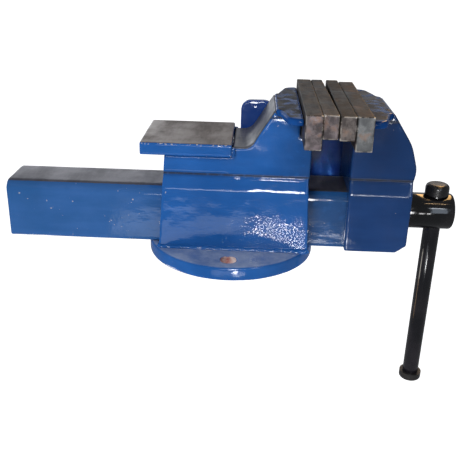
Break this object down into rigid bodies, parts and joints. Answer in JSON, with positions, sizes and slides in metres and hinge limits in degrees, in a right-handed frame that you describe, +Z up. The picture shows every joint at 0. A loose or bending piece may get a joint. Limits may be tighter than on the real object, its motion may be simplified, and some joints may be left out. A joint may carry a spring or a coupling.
{
  "type": "bench vise",
  "caption": "Bench vise with a square slide, a flat anvil plate, stepped steel jaw bars and a T-bar screw handle, on a round bolt-down foot.",
  "frame": {"origin": "centre of the round foot's underside, where it meets the bench", "axes": "+X along the slide towards the handle, +Y along the jaws, +Z up from the bench"},
  "size_m": [0.53, 0.2, 0.3737],
  "materials": {
    "blue_enamel": "thick glossy brushed enamel",
    "dark_enamel": "thick glossy enamel, darker",
    "bare_steel": "ground flat steel, slightly browned",
    "dark_steel": "dull dark steel with paint on the rims",
    "bar_steel": "machined bar with bright worn edges",
    "black_oxide": "blackened fasteners",
    "bronze": "machined bronze",
    "machined_steel": "turned and oiled",
    "black_gloss": "black polished",
    "knob_steel": "dark grey satin"
  },
  "bodies": {
    "fixed_body": {"base_flange": "blue_enamel", "slide_housing": "blue_enamel", "fixed_jaw_neck": "blue_enamel", "anvil_plate": "bare_steel", "side_plate": "dark_enamel", "fixed_jaw_carrier": "dark_steel", "fixed_jaw_block": "bar_steel", "fixed_jaw_plate": "bar_steel", "fixed_jaw_screws": "black_oxide", "screw_nut": "bronze", "nut_bolts": "black_oxide"},
    "moving_jaw": {"slide_bar": "blue_enamel", "moving_jaw_base": "blue_enamel", "moving_jaw_neck": "blue_enamel", "moving_jaw_carrier": "dark_steel", "moving_jaw_block": "bar_steel", "moving_jaw_plate": "bar_steel", "moving_jaw_screws": "black_oxide", "screw_bush": "bronze"},
    "main_screw": {"screw_shaft": "machined_steel", "screw_head": "black_gloss", "thrust_washer": "machined_steel", "spring_washer": "machined_steel", "retaining_collar": "machined_steel", "collar_pin": "machined_steel"},
    "handle": {"handle_bar": "black_gloss", "handle_knob_top": "knob_steel", "handle_knob_bottom": "knob_steel"}
  },
  "joints": [
    {"name": "jaw_slide", "type": "slide", "parent": "fixed_body", "child": "moving_jaw", "axis": [1, 0, 0], "range_m": [0, 0.18]},
    {"name": "screw_spin", "type": "hinge", "parent": "moving_jaw", "child": "main_screw", "pos_m": [0.2, 0, 0.056], "axis": [1, 0, 0], "range_deg": [0, 10800]},
    {"name": "handle_slide", "type": "slide", "parent": "main_screw", "child": "handle", "axis": [0, 0, 1], "range_m": [0, 0.207]}
  ],
  "couplings": [
    {"joint": "screw_spin", "follows": "jaw_slide", "rad_per_m": 1047.2}
  ]
}
